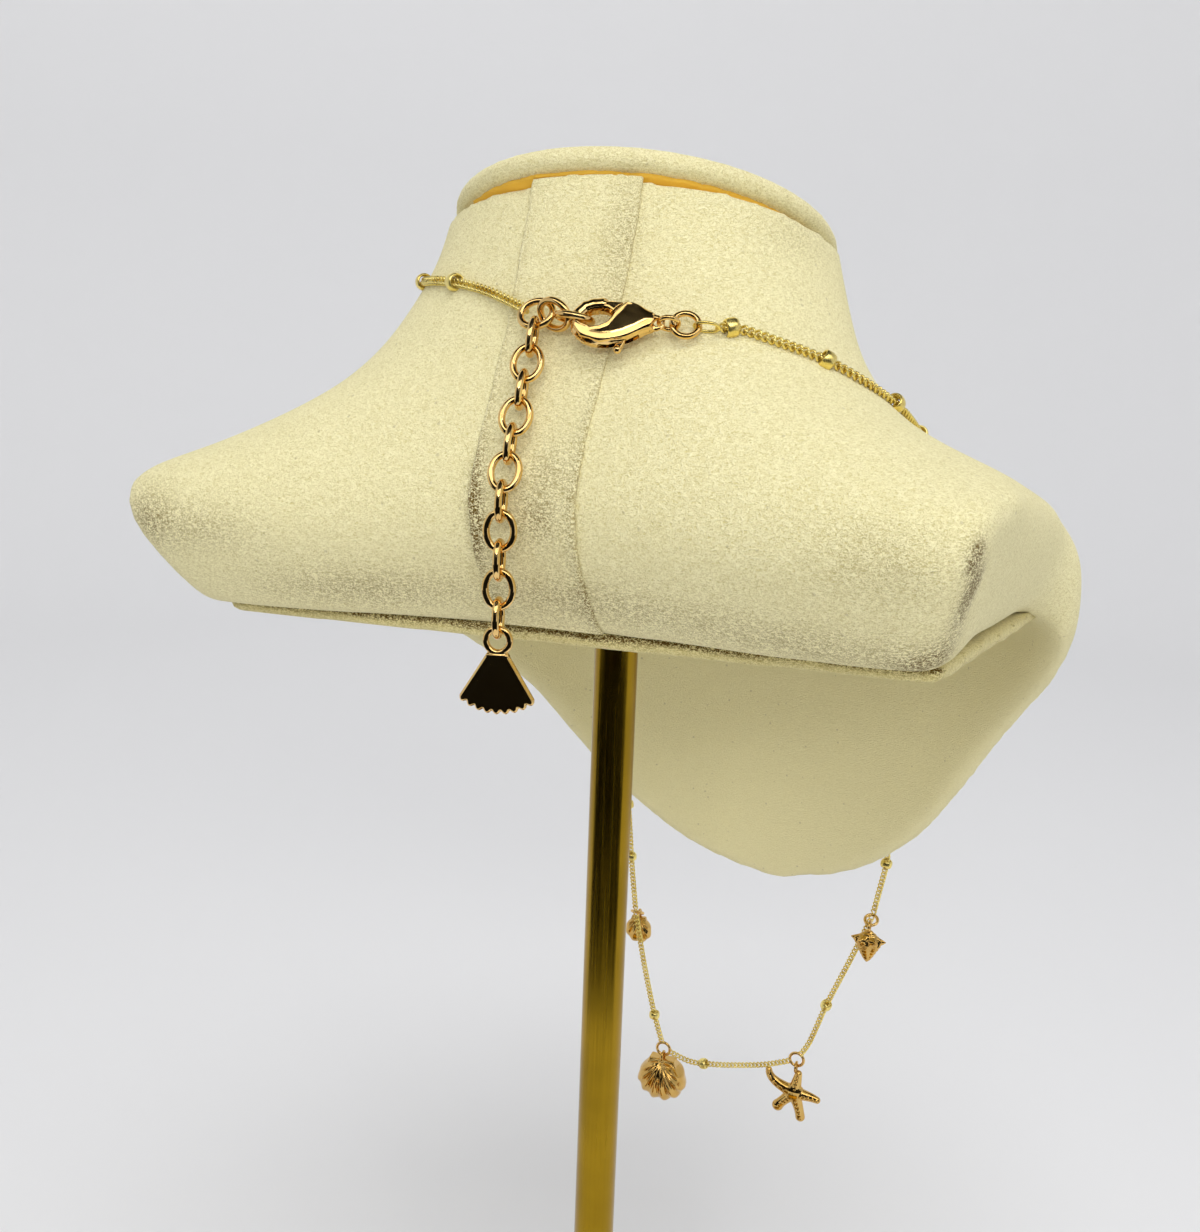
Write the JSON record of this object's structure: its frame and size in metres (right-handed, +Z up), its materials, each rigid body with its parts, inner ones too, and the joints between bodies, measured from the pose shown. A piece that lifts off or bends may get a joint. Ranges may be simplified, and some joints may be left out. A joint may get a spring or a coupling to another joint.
{
  "type": "shell charm necklace on a neck bust stand",
  "caption": "Gold chain necklace with shell and starfish charms, a lever clasp and a linked extender with a fan tag, worn by a suede covered neck bust on a pole.",
  "frame": {"origin": "centre of the round base's underside", "axes": "+Z up along the pole; the bust looks along -Y, so the clasp at the nape is on the +Y side; +X is the bust's own left"},
  "size_m": [0.1554, 0.1689, 0.3021],
  "materials": {
    "cream_suede": "short napped suede cloth, matt",
    "board_suede": "short napped suede cloth on a thin board, matt",
    "stand_brass": "brushed and lacquered",
    "yellow_gold": "polished yellow gold plate",
    "warm_gold": "polished warm gold plate",
    "charm_gold": "polished cast metal with warm gold plate"
  },
  "bodies": {
    "stand_and_necklace": {"back_strip": "cream_suede", "bottom_board": "board_suede", "bust_form": "cream_suede", "chain_end_link": "yellow_gold", "chain_front": "yellow_gold", "chain_left_lower": "yellow_gold", "chain_left_upper": "yellow_gold", "chain_right_lower": "yellow_gold", "chain_right_upper": "yellow_gold", "chain_ring": "warm_gold", "clasp_body": "warm_gold", "clasp_pin": "warm_gold", "clasp_ring": "warm_gold", "drop_link_01": "warm_gold", "drop_link_02": "warm_gold", "drop_link_03": "warm_gold", "drop_link_04": "warm_gold", "drop_link_05": "warm_gold", "drop_link_06": "warm_gold", "drop_link_07": "warm_gold", "drop_link_08": "warm_gold", "drop_link_09": "warm_gold", "drop_link_10": "warm_gold", "drop_link_11": "warm_gold", "extender_link_a": "warm_gold", "extender_link_b": "warm_gold", "extender_link_c": "warm_gold", "neck_cap": "cream_suede", "pole": "stand_brass", "round_base": "stand_brass", "shell_charm": "charm_gold", "shell_charm_ring": "charm_gold", "small_cockle": "charm_gold", "small_cockle_ring": "charm_gold", "small_conch": "charm_gold", "small_conch_ring": "charm_gold", "starfish_charm": "charm_gold", "starfish_charm_ring": "charm_gold", "tag": "warm_gold"},
    "clasp_lever": {"clasp_lever": "warm_gold"}
  },
  "joints": [
    {"name": "clasp_lever_hinge", "type": "hinge", "parent": "stand_and_necklace", "child": "clasp_lever", "pos_m": [-0.01482, 0.03094, 0.2758], "axis": [-0.2279, 0.8402, 0.4921], "range_deg": [0, 25], "stiffness_Nm_per_rad": 0.002}
  ]
}
